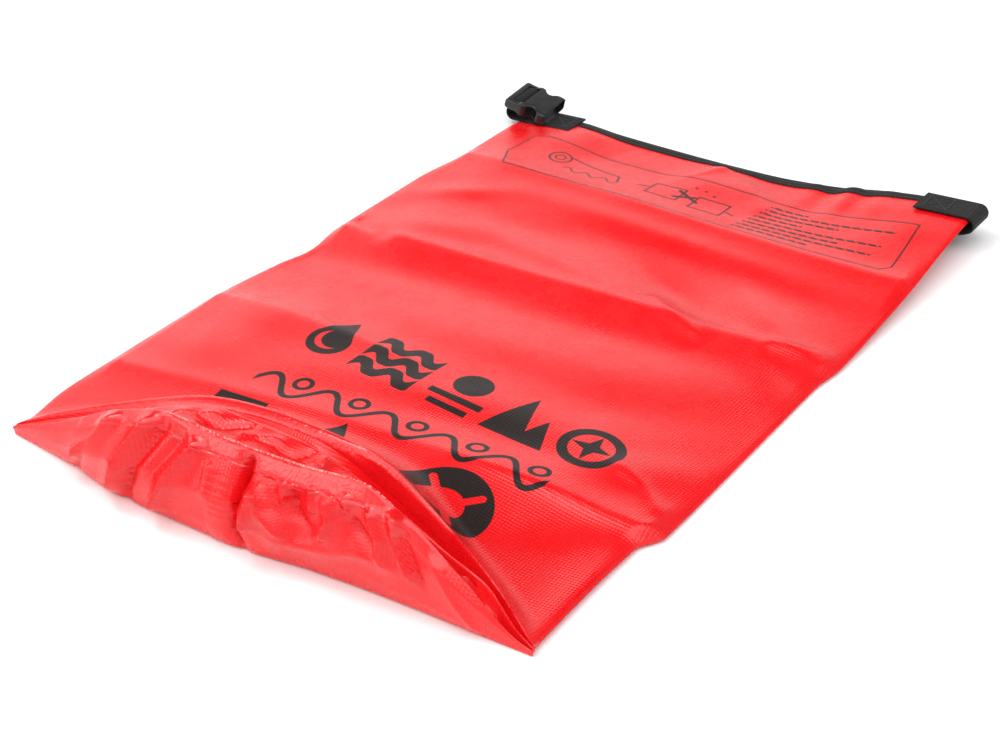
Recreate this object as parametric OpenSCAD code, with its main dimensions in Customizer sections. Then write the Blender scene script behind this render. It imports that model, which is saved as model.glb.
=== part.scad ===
/* [Bag] */
// Width of the empty bag lying flat
bag_w = 356; // [340:2:380]
// Length of the flat bag from the base fold to the mouth
bag_l = 536; // [500:2:580]
// Thickness of the coated fabric
wall = 0.7; // [0.6:0.05:0.8]
// Height of the collapsed base at the middle of the bag
base_rise = 60; // [50:1:66]
// Thickness of the flattened mouth, both layers
hem_t = 2.8; // [2.6:0.1:3.2]
// Tilt of the mouth, raised at the right by the buckle below it
hem_tilt = 3; // [2.6:0.1:3.2]
// Height of the middle of the mouth above the ground
hem_rise = 10.2; // [10:0.2:12]

/* [Roll top] */
// Length of the stiffened strip at the mouth
rim_l = 29; // [28:1:30]
// Length of the second turn
fold_2_l = 36; // [35:1:37]
// Length of the third turn
fold_3_l = 47; // [46:1:50]
// Clearance at the lines where the roll bends
fold_gap = 0.2; // [0.1:0.05:0.3]

/* [Webbing and trim] */
// Width of the webbing
web_w = 25; // [24:0.5:25]
// Thickness of the webbing
web_t = 1.4; // [1.2:0.1:1.6]
// Length of the sewn end of the strap that holds the socket
left_patch_l = 46; // [40:1:50]
// Length of the sewn end of the strap that holds the plug
right_patch_l = 38; // [36:1:50]
// Width of the binding round the mouth
bind_w = 9; // [8:0.5:11]
// Thickness of the binding
bind_t = 0.55; // [0.4:0.05:0.6]
// Width of the welded seam tape at the base
tape_w = 16; // [14:1:18]
// Width of the lap where the tube is welded along its back
lap_w = 18; // [14:1:20]

/* [Buckle] */
// Outside width of both halves of the buckle
buckle_w = 32; // [31:0.5:33]
// Depth of the socket half, through its thickness
socket_h = 10.4; // [10:0.2:11]
// Length of the socket half in front of its bar
socket_l = 25; // [24:0.5:26]
// Depth of the plug half, through its thickness
plug_h = 6.6; // [6:0.2:7]
// Length of the plug half in front of its bar
plug_l = 35; // [34:1:37]
// Radius of the bars that hold the webbing
bar_r = 1.8; // [1.6:0.1:1.9]

/* [Hidden] */
$fn = 48;
eps = 0.05;             // clearance between pieces that lie on each other
half_w = bag_w / 2;
mouth_y = bag_l / 2;
fold_1_y = mouth_y - rim_l;
fold_2_y = fold_1_y - fold_2_l;
fold_3_y = fold_2_y - fold_3_l;
strap_y = mouth_y - web_w / 2;
web_z = hem_t + bind_t + 2 * eps;          // underside of the sewn webbing
ring_r = bar_r + 0.1 + web_t;              // outside of the webbing round a bar
lens_n = 24;            // facets across one layer of the bag
disc_half = 104;        // half of the width that the folded base disc reaches
red = [0.85, 0.08, 0.09];
black = [0.09, 0.09, 0.1];

// Left loop: the webbing turns up at the corner and back over the mouth.
left_bar = [2 - half_w, web_z + 13];
left_turn_r = (left_bar[1] - ring_r + web_t - web_z) / 2;
left_turn = [-(half_w + bind_t + left_turn_r + 0.3), web_z + left_turn_r];
socket_tilt = 14;       // the mouth of the socket leans down onto the strap

// Right loop: the webbing turns down at the corner and back below the mouth.
right_turn_r = 4.4;
right_turn = [half_w + bind_t + right_turn_r + 0.3, web_z + web_t - right_turn_r];
right_bar = [half_w - 8, right_turn[1] - right_turn_r + web_t - ring_r];
plug_tilt = 14;         // the nose of the plug leans down onto the ground

function mix(a, b, t) = a + (b - a) * t;
function ease(t) = let (c = min(1, max(0, t))) c * c * (3 - 2 * c);

// Height of the underside of the mouth's plane at a place across the bag
function hem_z(x) = hem_rise + x * tan(hem_tilt);

// How far the underside has climbed from the ground to the mouth's plane
function climb(y) = ease((y - 40) / (fold_3_y - 15 - 40));

// Fullness of the bag across its width, 1 at the middle and 0 at the side edges
function full(x, p) = 1 - pow(min(1, abs(x) / half_w), p);

// Rows of each layer from the roll to the base: place along the bag, height at the
// middle, and the power that shapes the fullness across the width.
top_rows = [
    [fold_3_y - fold_gap / 2, 0, 6], [fold_3_y - 12, 0, 6], [fold_3_y - 50, 3, 6],
    [60, 8, 6], [0, 9, 5], [-60, 10, 4], [-120, 14, 3.4], [-165, 24, 2.8],
    [-190, 36, 2.5], [-208, 0.87 * base_rise, 2.2], [-219, 0.97 * base_rise, 2],
    [-226, 0.94 * base_rise, 2], [-229, 0.68 * base_rise, 2]
];
bottom_rows = [
    [fold_3_y - fold_gap / 2, 0], [fold_3_y - 12, 0], [fold_3_y - 50, 0], [60, 0], [0, 0],
    [-60, 0], [-120, 0], [-180, 0], [-262, 0], [-277, 0.1 * base_rise],
    [-284, 0.36 * base_rise], [-279, 0.72 * base_rise], [-269, base_rise]
];
row_n = len(top_rows);
edge_t = 2.4;           // thickness of both layers at a side edge

// A point of the outer face of the front and of the back layer
function top_point(k, x) =
    let (row = top_rows[k], swell = full(x, row[2]), pull = ease((-160 - row[0]) / 60),
        y = row[0] - 36 * pull * (1 - swell),
        flat_z = hem_z(x) + hem_t, lens_z = edge_t + (max(row[1], edge_t) - edge_t) * swell)
    [x, y, mix(lens_z, max(lens_z, flat_z), climb(row[0])) - (k < 2 ? 0 : 0.4 * climb(row[0]))];
function bottom_point(k, x) =
    let (row = bottom_rows[k], corner_y = max(row[0], -mouth_y + 3.5 * (row_n - 1 - k)))
    [x, mix(corner_y, row[0], sqrt(full(x, 2))),
        hem_z(x) * climb(row[0]) + row[1] * full(x, 2)];

// The same points moved inwards by a distance, across the run of each layer
function inward(a, b, side) = let (t = b - a, n = norm([t[1], t[2]]))
    side * [0, -t[2] / n, t[1] / n];
function inner_top(k, x, d) =
    top_point(k, x) + d * inward(top_point(max(k - 1, 0), x),
        top_point(min(k + 1, row_n - 1), x), 1);
function inner_bottom(k, x, d) =
    bottom_point(k, x) + d * inward(bottom_point(max(k - 1, 0), x),
        bottom_point(min(k + 1, row_n - 1), x), -1);

// One closed loop round the bag at row k, moved inwards by d
function across(i) = let (s = -1 + 2 * i / lens_n) sign(s) * pow(abs(s), 0.85);
function loop_at(k, d) = concat(
    [for (i = [0 : lens_n]) inner_top(k, across(i) * (half_w - d), d)],
    [for (i = [lens_n : -1 : 0]) inner_bottom(k, across(i) * (half_w - d), d)]);

// A closed sheet between two stacks of loops, an outer and an inner one
module sleeve(outer, inner) {
    rows = len(outer);
    n = len(outer[0]);
    points = concat([for (r = outer) each r], [for (r = inner) each r]);
    off = rows * n;
    sides = [for (k = [0 : rows - 2], i = [0 : n - 1]) let (j = (i + 1) % n)
        each [[k * n + i, (k + 1) * n + i, k * n + j],
            [k * n + j, (k + 1) * n + i, (k + 1) * n + j],
            [off + k * n + i, off + k * n + j, off + (k + 1) * n + i],
            [off + k * n + j, off + (k + 1) * n + j, off + (k + 1) * n + i]]];
    last = (rows - 1) * n;
    ends = [for (i = [0 : n - 1]) let (j = (i + 1) % n)
        each [[i, j, off + i], [j, off + j, off + i],
            [last + i, off + last + i, last + j], [last + j, off + last + i, off + last + j]]];
    polyhedron(points, concat(sides, ends), convexity = 6);
}

// A thin sheet between two grids of points, each a list of rows
module sheet(upper, lower) {
    rows = len(upper);
    n = len(upper[0]);
    points = concat([for (r = upper) each r], [for (r = lower) each r]);
    off = rows * n;
    faces = [for (k = [0 : rows - 2], i = [0 : n - 2]) let (a = k * n + i, b = a + n)
        each [[a, a + 1, b], [a + 1, b + 1, b],
            [off + a, off + b, off + a + 1], [off + a + 1, off + b, off + b + 1]]];
    row_ends = [for (i = [0 : n - 2]) let (z = (rows - 1) * n + i)
        each [[i, off + i, i + 1], [i + 1, off + i, off + i + 1],
            [z, z + 1, off + z], [z + 1, off + z + 1, off + z]]];
    col_ends = [for (k = [0 : rows - 2]) let (a = k * n, b = a + n, c = a + n - 1, d = b + n - 1)
        each [[a, b, off + a], [b, off + b, off + a],
            [c, off + c, d], [d, off + c, off + d]]];
    polyhedron(points, concat(faces, row_ends, col_ends), convexity = 8);
}

// Places its children in the tilted plane of the mouth, whose underside is z = 0
module on_hem() {
    translate([0, 0, hem_rise]) rotate([0, -hem_tilt, 0]) children();
}

// A box from one corner to the opposite one
module span(a, b) {
    translate(a) cube(b - a);
}

// One turn of the flattened tube between two lines across it
module flat_tube(y0, y1) {
    on_hem() difference() {
        span([-half_w, y0, 0], [half_w, y1, hem_t]);
        span([-half_w + wall, y0 - 1, wall], [half_w - wall, y1 + 1, hem_t - wall]);
    }
}

module tube_wall() {
    color(red) sleeve([for (k = [0 : row_n - 1]) loop_at(k, 0)],
        [for (k = [0 : row_n - 1]) loop_at(k, wall)]);
}

// The overlap of the tube's long edges, welded up the middle of the turned-up back
module lap_weld() {
    rows = [for (k = [9 : 0.5 : 11]) k];
    xs = [-lap_w / 2, 0, lap_w / 2];
    function lap_at(k, x, d) = let (a = floor(k), b = ceil(k))
        mix(inner_bottom(a, x, d), inner_bottom(b, x, d), k - a);
    color(red) sheet([for (k = rows) [for (x = xs) lap_at(k, x, -0.75)]],
        [for (k = rows) [for (x = xs) lap_at(k, x, -0.15)]]);
}

// The round base, folded in four leaves between the two layers of the collapsed tube
module base_disc() {
    leaf_n = 16;
    function disc_x(i) = disc_half * (-1 + 2 * i / leaf_n);
    function reach(x) = sqrt(1 - pow(x / (disc_half + 8), 2));
    function crest(x) = base_rise * full(x, 2);
    function rails(x) = [
        [-266, crest(x) - 1.5], [-257, crest(x) - 50 * reach(x)],
        [-246, crest(x) - 6], [-238, crest(x) - 46 * reach(x)],
        [-233, 0.68 * crest(x)]];
    function bow(x) = 36 * (1 - full(x, 2));
    function disc_point(k, i, d) = let (x = disc_x(i), r = rails(x)[k])
        [x, r[0] - k * bow(x) / 4 + d, max(3, r[1])];
    color(red) sheet([for (k = [0 : 4]) [for (i = [0 : leaf_n]) disc_point(k, i, -wall / 2)]],
        [for (k = [0 : 4]) [for (i = [0 : leaf_n]) disc_point(k, i, wall / 2)]]);
}

// The tape welded over the joint of tube and base, on the outside of the turned-up back
module base_seam_tape() {
    tape_n = 12;
    function tape_x(i) = 90 * (-1 + 2 * i / tape_n);
    function tape_point(s, i, d) = let (x = tape_x(i), a = inner_bottom(row_n - 1, x, d),
        b = inner_bottom(row_n - 2, x, d), run = norm(b - a))
        mix(a, b, s * tape_w / max(run, tape_w + 1));
    color(red) sheet([for (s = [0, 0.5, 1]) [for (i = [0 : tape_n]) tape_point(s, i, -0.1)]],
        [for (s = [0, 0.5, 1]) [for (i = [0 : tape_n]) tape_point(s, i, -0.6)]]);
}

module tube_fold_3() {
    color(red) flat_tube(fold_3_y + fold_gap / 2, fold_2_y - fold_gap / 2);
}

module tube_fold_2() {
    color(red) flat_tube(fold_2_y + fold_gap / 2, fold_1_y - fold_gap / 2);
}

module tube_rim() {
    color(red) flat_tube(fold_1_y + fold_gap / 2, mouth_y);
}

// The flat plastic strip in the hem that the mouth is rolled round
module stiffener_blade() {
    color([0.85, 0.85, 0.82]) on_hem()
        span([-half_w + 6, fold_1_y + 5, wall + eps],
            [half_w - 6, mouth_y - 4, wall + eps + 0.6]);
}

// The woven binding folded over the raw edge of the mouth, open at the slit
module mouth_binding() {
    x = half_w + eps;
    color(black) on_hem() difference() {
        span([-x - bind_t, mouth_y - bind_w, -eps - bind_t],
            [x + bind_t, mouth_y + eps + bind_t, hem_t + eps + bind_t]);
        span([-x, mouth_y - bind_w - 1, -eps], [x, mouth_y + eps, hem_t + eps]);
        span([-x + 2, mouth_y - 1, wall + 0.1], [x - 2, mouth_y + 2, hem_t - wall - 0.1]);
    }
}

// Two rows of thread through the binding, one on each face
module binding_thread() {
    x = half_w - left_patch_l - 8;
    y = mouth_y - bind_w + 1.6;
    rise = 0.2;
    color([0.16, 0.16, 0.17]) on_hem() {
        span([-x, y, hem_t + bind_t + 2 * eps], [x, y + 0.5, hem_t + bind_t + rise + 2 * eps]);
        span([-x, y, -bind_t - rise - 2 * eps], [x, y + 0.5, -bind_t - 2 * eps]);
    }
}

// The sewn end of a strap, from its cut end to the corner of the mouth
module strap_patch(x0, x1) {
    color(black) on_hem()
        span([x0, strap_y - web_w / 2, web_z], [x1, strap_y + web_w / 2, web_z + web_t]);
}

// A square of thread with a cross, sewn through a strap's end
module box_stitch(x) {
    side = 17;
    thread = 0.6;
    color([0.16, 0.16, 0.17]) on_hem() translate([x, strap_y, web_z + web_t + eps])
        linear_extrude(0.25) {
            difference() {
                square(side, center = true);
                square(side - 2 * thread, center = true);
            }
            for (a = [-45, 45]) rotate(a) square([1.36 * side, thread], center = true);
        }
}

module left_strap_patch() {
    strap_patch(-half_w, -half_w + left_patch_l);
}

module right_strap_patch() {
    strap_patch(half_w - right_patch_l, half_w);
}

module left_box_stitch() {
    box_stitch(-half_w + left_patch_l - 13);
}

module right_box_stitch() {
    box_stitch(half_w - right_patch_l + 13);
}

// A cylinder along Y through a point of the XZ plane
module rod(at, r, w) {
    translate([at[0], strap_y, at[1]]) rotate([90, 0, 0]) cylinder(h = w, r = r, center = true);
}

// A loop of webbing: a turn at the corner, a straight run and a turn round a bar.
// side is -1 for the open side of the corner's turn on the left, 1 on the right.
module strap_loop(turn, turn_r, bar, side) {
    run_top = side < 0 ? turn[1] + turn_r : turn[1] - turn_r + web_t;
    on_hem() difference() {
        union() {
            intersection() {
                rod(turn, turn_r, web_w);
                span([min(turn[0], turn[0] + side * 9), 0, -20],
                    [max(turn[0], turn[0] + side * 9), 400, 40]);
            }
            span([min(turn[0], bar[0]), strap_y - web_w / 2, run_top - web_t],
                [max(turn[0], bar[0]), strap_y + web_w / 2, run_top]);
            rod(bar, ring_r, web_w);
        }
        rod(bar, bar_r + 0.1, web_w + 1);
        rod(turn, turn_r - web_t, web_w + 1);
    }
}

module left_strap_loop() {
    color(black) strap_loop(left_turn, left_turn_r, left_bar, -1);
}

module right_strap_loop() {
    color(black) strap_loop(right_turn, right_turn_r, right_bar, 1);
}

// A frame with a bar across it, which both halves of the buckle hold the webbing with
module bar_frame(h, front) {
    opening = web_w + 0.6;
    difference() {
        span([-ring_r - 0.2, -buckle_w / 2, -h / 2], [front, buckle_w / 2, h / 2]);
        span([-ring_r - 1, -opening / 2, -h], [ring_r + 0.4, opening / 2, h]);
    }
    rotate([90, 0, 0]) cylinder(h = opening + 1, r = bar_r, center = true);
}

// The socket half lies on the strap with its mouth towards the middle of the bag
module buckle_socket() {
    cave_w = web_w + 1.4;
    cave_h = socket_h - 3;
    cave_x = 9;
    color(black) on_hem() translate([left_bar[0], strap_y, left_bar[1]])
        rotate([0, socket_tilt, 0]) {
            bar_frame(socket_h, cave_x - 2);
            difference() {
                span([cave_x - 2.01, -buckle_w / 2, -socket_h / 2],
                    [socket_l, buckle_w / 2, socket_h / 2]);
                span([cave_x, -cave_w / 2, -cave_h / 2], [socket_l + 1, cave_w / 2, cave_h / 2]);
                for (side = [-1, 1]) translate([15, side * (buckle_w / 2 + 2.4), 0])
                    cylinder(h = 20, r = 6, center = true);
            }
        }
}

// Places its children at the bar of the plug half, which points to the bag's middle
module at_plug() {
    on_hem() translate([right_bar[0], strap_y, right_bar[1]]) rotate([0, plug_tilt, 180]) children();
}

arm_root = [12.6, 9.8];
arm_t = 2.6;

// The plug half without its arms: frame, bar, shoulder and guide tongue
module buckle_plug() {
    color(black) at_plug() {
        bar_frame(plug_h, 6);
        span([5.99, -buckle_w / 2 + 2, -plug_h / 2], [arm_root[0] - 0.2, buckle_w / 2 - 2, plug_h / 2]);
        span([arm_root[0] - 0.21, -2.6, -1.6], [plug_l - 4, 2.6, 1.6]);
    }
}

// One sprung arm with its barbed head; side picks the near or the far one
module release_arm(side) {
    head_x = 23;
    color(black) at_plug() mirror([0, side < 0 ? 1 : 0, 0]) {
        span([arm_root[0], arm_root[1] - arm_t / 2, -2.4],
            [plug_l, arm_root[1] + arm_t / 2, 2.4]);
        difference() {
            span([head_x, arm_root[1] - arm_t / 2, -2.4], [plug_l - 1, buckle_w / 2 - 2.6, 2.4]);
            translate([plug_l + 3, buckle_w / 2, 0]) cylinder(h = 10, r = 6.5, center = true);
        }
    }
}

module release_arm_near() {
    release_arm(1);
}

module release_arm_far() {
    release_arm(-1);
}

tube_wall();
lap_weld();
base_disc();
base_seam_tape();
tube_fold_3();
tube_fold_2();
tube_rim();
stiffener_blade();
mouth_binding();
binding_thread();
left_strap_patch();
left_box_stitch();
left_strap_loop();
buckle_socket();
right_strap_patch();
right_box_stitch();
right_strap_loop();
buckle_plug();
release_arm_near();
release_arm_far();
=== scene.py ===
"""Looks of a roll-top dry bag that lies flat and empty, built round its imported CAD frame."""
import functools
import math
import bpy
import numpy as np
from mathutils import Matrix, Vector


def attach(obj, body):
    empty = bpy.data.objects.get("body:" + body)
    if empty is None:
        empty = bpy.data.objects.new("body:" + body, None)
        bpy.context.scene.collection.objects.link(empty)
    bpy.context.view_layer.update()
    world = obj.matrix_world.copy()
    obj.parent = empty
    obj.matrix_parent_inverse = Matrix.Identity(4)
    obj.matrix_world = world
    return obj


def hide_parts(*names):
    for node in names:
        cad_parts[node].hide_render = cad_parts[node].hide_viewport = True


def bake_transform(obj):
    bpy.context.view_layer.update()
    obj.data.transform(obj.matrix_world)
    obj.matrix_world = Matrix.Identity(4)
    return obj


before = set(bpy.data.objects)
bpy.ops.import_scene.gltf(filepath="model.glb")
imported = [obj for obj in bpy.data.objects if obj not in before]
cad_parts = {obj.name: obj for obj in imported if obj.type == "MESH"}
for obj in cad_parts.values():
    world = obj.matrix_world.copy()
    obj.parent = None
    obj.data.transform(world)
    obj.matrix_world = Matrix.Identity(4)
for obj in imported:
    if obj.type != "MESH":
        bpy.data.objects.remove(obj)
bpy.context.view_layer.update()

# All shapes below are worked out in millimetres and scaled when a mesh is made.
MM = 0.001
HALF_W = 178.0
MOUTH_Y = 268.0
BODY_END_Y = 144.0               # the tube's body ends here and the part that rolls begins
BASE_Y = -264.0
HEM_RISE = 10.2
HEM_T = 2.8
HEM_TILT = math.radians(3.0)
WALL = 0.7
HEM_DEPTH = 18                   # the layers' heights are sampled every millimetre over this depth
WEB_W = 25.0
WEB_T = 1.4
STRAP_Y = MOUTH_Y - WEB_W / 2
WEB_Z = HEM_T + 0.65
COLS = 210
FRONT_ROWS = 122
BACK_V = -646.0                  # the cloth runs on from the front, round the base, to the back


# ---------------- curves and fields

def curve(x, knots_x, knots_y):
    """Smooth curve through knots that doesn't overshoot. knots_y may hold one column per x."""
    xs = np.asarray(knots_x, float)
    ys = np.asarray(knots_y, float).reshape(len(xs), -1)
    h = np.diff(xs)[:, None]
    d = np.diff(ys, axis=0) / h
    w1 = 2 * h[1:] + h[:-1]
    w2 = h[1:] + 2 * h[:-1]
    same = d[:-1] * d[1:] > 1e-12
    before = np.where(same, d[:-1], 1.0)
    after = np.where(same, d[1:], 1.0)
    slopes = np.concatenate([d[:1], same * (w1 + w2) / (w1 / before + w2 / after), d[-1:]])
    x = np.clip(x, xs[0], xs[-1])
    k = np.clip(np.searchsorted(xs, x, side="right") - 1, 0, len(xs) - 2)
    at = np.arange(ys.shape[1]) if ys.shape[1] > 1 else 0
    h = h[k, 0]
    t = (x - xs[k]) / h
    return (ys[k, at] * (1 + 2 * t) * (1 - t) ** 2 + h * slopes[k, at] * t * (1 - t) ** 2
            + ys[k + 1, at] * t * t * (3 - 2 * t) + h * slopes[k + 1, at] * t * t * (t - 1))


def knots(x, pairs):
    return curve(x, [p[0] for p in pairs], [p[1] for p in pairs])


def ease(t):
    t = np.clip(t, 0, 1)
    return t * t * (3 - 2 * t)


def fold(x, y, points, height, width):
    """A soft ridge (or valley) along a run of points, that fades out at both ends."""
    sharp, reach = 0.25, 0.62
    best = np.full(np.broadcast(x, y).shape, 1e9)
    along = np.zeros_like(best)
    n = len(points) - 1
    for i, ((ax, ay), (bx, by)) in enumerate(zip(points, points[1:])):
        dx, dy = bx - ax, by - ay
        t = np.clip(((x - ax) * dx + (y - ay) * dy) / (dx * dx + dy * dy), 0, 1)
        d = np.hypot(x - ax - t * dx, y - ay - t * dy)
        along = np.where(d < best, (i + t) / n, along)
        best = np.minimum(best, d)
    core = np.exp((sharp - np.sqrt((best / width) ** 2 + sharp ** 2)) / reach)
    return height * core * ease(along / 0.18) * ease((1 - along) / 0.25)


def folds(x, y, table):
    return sum(fold(x, y, *entry) for entry in table)


def crease(x, y, left, right, height, far, near):
    """A factory fold across the bag, from y = left at one side to y = right at the other."""
    reach, soft = 200, 1.4
    d = y - left - (right - left) * (x + reach) / (2 * reach)
    width = np.where(d > 0, far, near)
    return height * np.exp((soft - np.sqrt(d ** 2 + soft ** 2)) / width)


def swell(x, y, cx, cy, height, sx, sy, turn):
    """A soft bump (or dent) with an oval outline."""
    c, s = math.cos(math.radians(turn)), math.sin(math.radians(turn))
    u = (x - cx) * c + (y - cy) * s
    v = -(x - cx) * s + (y - cy) * c
    return height * np.exp(-0.5 * ((u / sx) ** 2 + (v / sy) ** 2))


# ---------------- outline of the bag

LEFT_EDGE = [(-264, -178), (-209, -188), (-90, -189), (-25, -183), (0, -178), (38, -183),
        (125, -183), (180, -178), (268, -178)]
RIGHT_EDGE = [(-264, 174), (-193, 172), (-165, 172), (-146, 180), (-30, 178), (30, 177), (60, 180),
        (150, 180), (190, 179), (268, 178)]
# heights of the front and of the back layer, as (place along, [(place across, height), ...])
FRONT = [
    (MOUTH_Y, [(-178, 3.7), (-133, 5.7), (-99, 3.9), (-40, 3.4), (20, 4.4), (69, 8.8), (116, 17.4),
        (139, 20.3), (178, 22.3)]),
    (246, [(-178, 3.7), (-122, 7.6), (-80, 3.4), (-44, 3.6), (-6, 6.8), (30, 5.2), (60, 6.6),
        (109, 15), (139, 20), (178, 22.3)]),
    (225, [(-178, 3.9), (-132, 8.6), (-80, 3.6), (-44, 4.2), (-4, 8.6), (60, 6.4), (109, 12.3),
        (153, 19.6), (178, 20.5)]),
    (195, [(-178, 3.8), (-130, 7.8), (-80, 6.0), (-30, 7.5), (32, 7.0), (90, 9), (140, 14),
        (178, 17)]),
    (160, [(-178, 3.8), (-130, 7.8), (-80, 8), (-30, 9.0), (32, 8.6), (90, 9.0), (140, 10),
        (178, 12.5)]),
    (118, [(-178, 3.6), (-120, 7.8), (0, 8.6), (100, 8.4), (150, 8.0), (178, 8.5)]),
    (80, [(-178, 3.4), (-120, 8.2), (-20, 8), (60, 6.4), (120, 7.2), (178, 5.0)]),
    (36, [(-178, 3.2), (-110, 7.6), (0, 8.4), (110, 7.4), (178, 3.4)]),
    (0, [(-178, 3.2), (-110, 6.8), (0, 8.2), (110, 7.4), (178, 3.2)]),
    (-60, [(-178, 3.4), (-110, 9), (0, 10.5), (110, 9), (178, 3.4)]),
    (-95, [(-178, 3.6), (-110, 12.6), (0, 13), (100, 12), (150, 6.5), (178, 3.6)]),
    (-120, [(-178, 3.4), (-110, 11.4), (0, 13.8), (100, 12.6), (150, 7.5), (178, 3.8)]),
    (-165, [(-178, 3.2), (-120, 8.0), (-60, 12.5), (0, 15), (60, 15), (110, 11.5), (150, 6), (178, 5)]),
    (-205, [(-178, 3.2), (-130, 5.0), (-80, 9.0), (0, 15), (50, 14), (90, 9), (125, 4.4),
        (150, 3.8), (178, 6.5)]),
    (BASE_Y, [(-178, 3.2), (-120, 4), (0, 12), (90, 6), (130, 3.0), (155, 3.2), (178, 6)]),
]
BACK = [
    (MOUTH_Y, [(-178, 0.9), (-133, 2.9), (-99, 1.1), (-40, 0.6), (20, 1.6), (69, 6.0), (116, 14.6),
        (139, 17.5), (178, 19.5)]),
    (225, [(-178, 0.9), (-137, 2), (-100, 0.6), (0, 0.9), (60, 2.5), (100, 8), (140, 15),
        (178, 17.8)]),
    (168, [(-178, 0.9), (-100, 0.5), (0, 0.5), (60, 1.5), (120, 5.5), (178, 11.5)]),
    (118, [(-178, 0.6), (0, 0.3), (100, 0.6), (178, 5.5)]),
    (70, [(-178, 0.4), (100, 0.3), (178, 1.6)]),
    (30, [(-178, 0.3), (178, 0.3)]),
    (BASE_Y, [(-178, 0.3), (178, 0.3)]),
]


def field(y, stations, x_unit):
    """Height at y for every column, between stations that are curves across the bag."""
    order = sorted(stations, key=lambda s: s[0])
    table = np.array([knots(x_unit * HALF_W, s[1]) for s in order])
    places = [s[0] for s in order]
    return np.array([curve(row, places, table) for row in y])


def column_shares(n):
    """Shares across the width, closer together near both side edges."""
    k = np.arange(n + 1) / n
    return 0.5 * k + 0.5 * (0.5 - 0.5 * np.cos(math.pi * k))


SHARES = column_shares(COLS)


# ---------------- collapsed base

FRONT_FOLD_Y = [(-182, -264), (-150, -249), (-95, -231), (-35, -222), (40, -223), (80, -229),
        (125, -243), (178, -265)]
FRONT_FOLD_Z = [(-182, 6), (-155, 17), (-110, 32), (-55, 48), (0, 53), (50, 53), (97, 38), (143, 23),
        (178, 4)]
NEAR_EDGE_Z = [(-182, 5), (-140, 24), (-80, 54), (-53, 61), (-15, 59), (36, 61), (75, 66), (98, 57),
        (136, 31), (168, 6), (178, 3)]
RIDGE_Z = [(-182, 5), (-120, 28), (-60, 51), (-36, 57), (11, 57), (60, 48), (118, 32), (143, 27),
        (164, 10), (178, 3)]
VALLEY_DROP = [(-182, 1), (-110, 11), (-40, 8), (10, 8), (60, 24), (110, 19), (165, 5), (178, 1)]
SAG = [(-182, 1), (-110, 5), (-50, 2), (30, 2), (95, 12), (140, 12), (178, 1)]
GROUND_Y = [(-182, -264), (-132, -269), (-80, -278), (-3, -278), (41, -272), (99, -268), (178, -265)]


def base_rails(x):
    """The lines that the folded base and the turned-up back run through, front fold first."""
    fy, fz = knots(x, FRONT_FOLD_Y), knots(x, FRONT_FOLD_Z)
    uz = knots(x, NEAR_EDGE_Z)
    uy = BASE_Y - 2 + ease((np.abs(x) - 150) / 28)
    ry = fy + (uy - fy) * knots(x, [(-182, 0.4), (-60, 0.46), (0, 0.47), (90, 0.5), (178, 0.5)])
    rz = knots(x, RIDGE_Z)
    vy = fy + (ry - fy) * 0.5
    vz = np.minimum(fz, rz) - knots(x, VALLEY_DROP)
    sy = ry + (uy - ry) * 0.55
    sz = np.minimum(rz, uz) - knots(x, SAG)
    gy = knots(x, GROUND_Y)
    tall = ease(uz / 40)
    return [
        (fy, fz), (vy, np.maximum(vz, 2.0)), (ry, rz), (sy, np.maximum(sz, 2.0)), (uy, uz),
        (uy - 5.5 * tall - 0.3, uz * 0.84), (gy - 4.5 * tall - 0.2, uz * 0.52),
        (gy - 3.5 * tall, uz * 0.2), (gy, np.full_like(x, 0.3)),
    ]


SEGMENTS = [10, 10, 12, 10, 9, 20, 18, 12]       # rows between one rail and the next
FOLD_ROW = FRONT_ROWS
NEAR_ROW = FRONT_ROWS + sum(SEGMENTS[:4])
BAND_ROW = NEAR_ROW + SEGMENTS[4]
GROUND_ROW = FRONT_ROWS + sum(SEGMENTS)


# (place across, along, height, half length, half width, turn in degrees)
DENTS = [
    (-60, 100, -1.6, 45, 16, 8), (70, 112, -2.2, 60, 17, -4), (120, 78, 2.2, 34, 9, -38),
    (60, 74, -1.8, 40, 9, -30), (-120, 66, 1.6, 30, 12, 20), (-20, 66, 1.6, 50, 9, -12),
    (-100, 6, -1.8, 60, 14, 4), (60, 12, -1.8, 70, 14, 6), (0, -40, 1.4, 70, 16, 6),
    (110, -60, -1.6, 38, 20, 30), (-120, -40, -1.4, 40, 18, -24), (-20, -120, 1.2, 60, 12, 14),
    (140, -110, 1.8, 26, 11, 34), (60, -130, -1.4, 50, 10, 3), (-150, -140, 1.4, 22, 14, -20),
    (20, 135, 1.4, 70, 8, -3), (-140, 118, 1.4, 26, 8, 28), (150, 20, 1.4, 24, 8, -40),
]
# (place across, along), height, width
FRONT_FOLDS = [
    ([(40, 66), (74, 44), (104, 30)], 1.8, 9),
    ([(176, 62), (150, 52), (128, 46)], 1.8, 7),
    ([(-182, 52), (-160, 40), (-132, 34)], -1.8, 8),
    ([(176, -140), (150, -122), (120, -112)], 1.8, 8),
]
DENT_DEPTH = 1.3


def undulations(x, y):
    """Factory folds and soft dents of the front layer."""
    z = crease(x, y, -180, -152, 2.4, 14, 12)
    z += ease((x - 20) / 90) * crease(x, y, -180, -152, 3.6, 18, 9)
    z += ease((20 - x) / 110) * crease(x, y, -86, -96, 4.2, 14, 44)
    z += crease(x, y, 35, 51, 4.2, 12, 24)
    z += crease(x, y, 173, 157, 3.6, 12, 22)
    return z + DENT_DEPTH * (sum(swell(x, y, *dent) for dent in DENTS) + folds(x, y, FRONT_FOLDS))


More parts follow.
